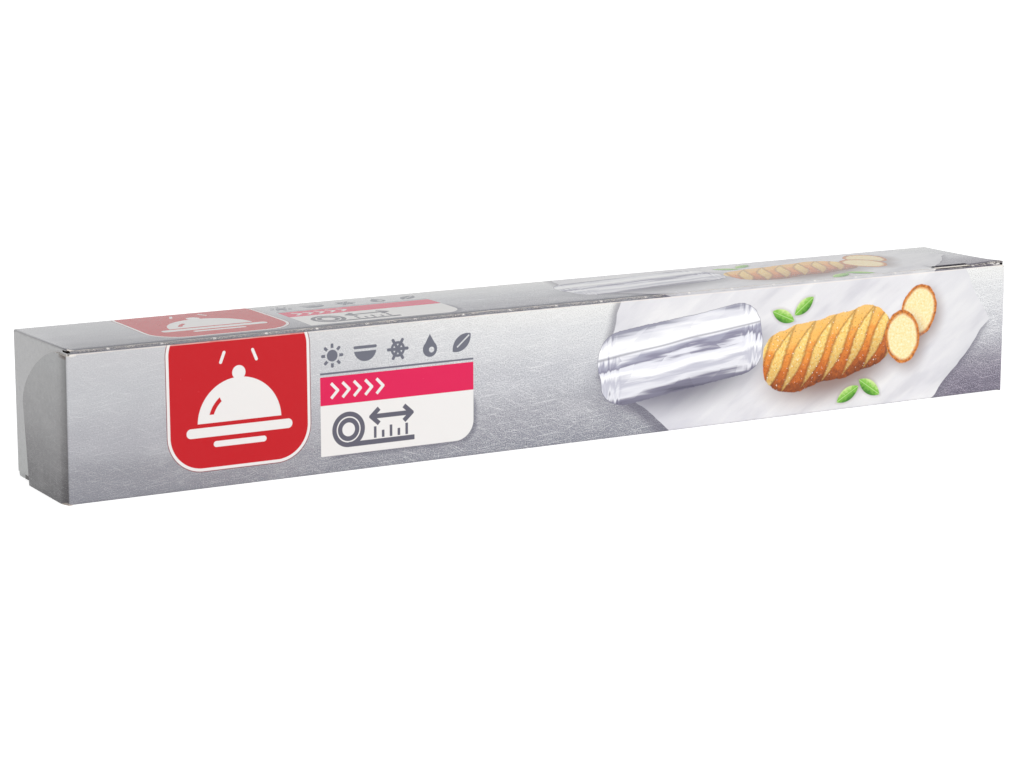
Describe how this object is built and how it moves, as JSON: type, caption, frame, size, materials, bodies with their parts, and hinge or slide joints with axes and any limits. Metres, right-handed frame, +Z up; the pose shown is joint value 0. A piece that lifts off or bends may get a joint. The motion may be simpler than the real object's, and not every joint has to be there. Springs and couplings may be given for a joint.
{
  "type": "aluminium foil carton",
  "caption": "Long square folding carton of kitchen foil, sealed, with a perforated lid line and folded, glued end flaps.",
  "frame": {"origin": "middle of the face that the carton stands on", "axes": "+X along the carton, -Y out of the printed front panel, +Z up out of the lid"},
  "size_m": [0.305, 0.04, 0.04],
  "materials": {
    "printed_board": "semi-gloss printed paperboard"
  },
  "bodies": {
    "root": {"foil_carton": "printed_board"}
  },
  "joints": []
}
